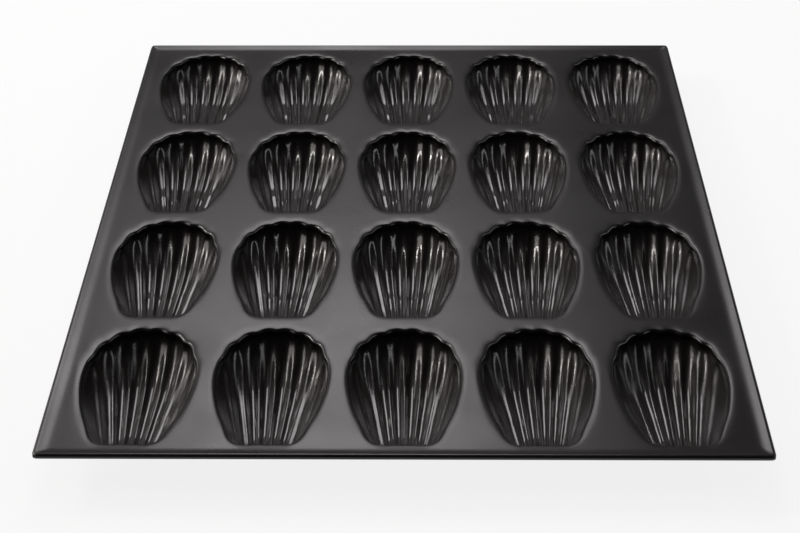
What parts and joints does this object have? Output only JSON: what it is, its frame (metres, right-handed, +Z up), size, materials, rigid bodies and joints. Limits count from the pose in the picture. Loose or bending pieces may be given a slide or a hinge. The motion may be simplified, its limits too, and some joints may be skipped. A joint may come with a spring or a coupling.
{
  "type": "madeleine pan",
  "caption": "Dark non-stick baking plate with rows of fluted shell cups and a wired edge, for baking small shell-shaped cakes.",
  "frame": {"origin": "on the table, under the middle of the plate", "axes": "+X across the pan to the right, +Y from the front edge to the back, where the fan ends of the shells point, +Z up"},
  "size_m": [0.3, 0.375, 0.0193],
  "materials": {
    "plate_coating": "satin black-brown non-stick coating on steel sheet",
    "cup_coating": "glossy black-brown non-stick coating on steel sheet",
    "wire_steel": "plain drawn steel wire, hidden in the rolled edge"
  },
  "bodies": {
    "root": {"cover_plate": "plate_coating", "rim_wire": "wire_steel", "shell_cup_row1_col1": "cup_coating", "shell_cup_row1_col2": "cup_coating", "shell_cup_row1_col3": "cup_coating", "shell_cup_row1_col4": "cup_coating", "shell_cup_row1_col5": "cup_coating", "shell_cup_row2_col1": "cup_coating", "shell_cup_row2_col2": "cup_coating", "shell_cup_row2_col3": "cup_coating", "shell_cup_row2_col4": "cup_coating", "shell_cup_row2_col5": "cup_coating", "shell_cup_row3_col1": "cup_coating", "shell_cup_row3_col2": "cup_coating", "shell_cup_row3_col3": "cup_coating", "shell_cup_row3_col4": "cup_coating", "shell_cup_row3_col5": "cup_coating", "shell_cup_row4_col1": "cup_coating", "shell_cup_row4_col2": "cup_coating", "shell_cup_row4_col3": "cup_coating", "shell_cup_row4_col4": "cup_coating", "shell_cup_row4_col5": "cup_coating"}
  },
  "joints": []
}
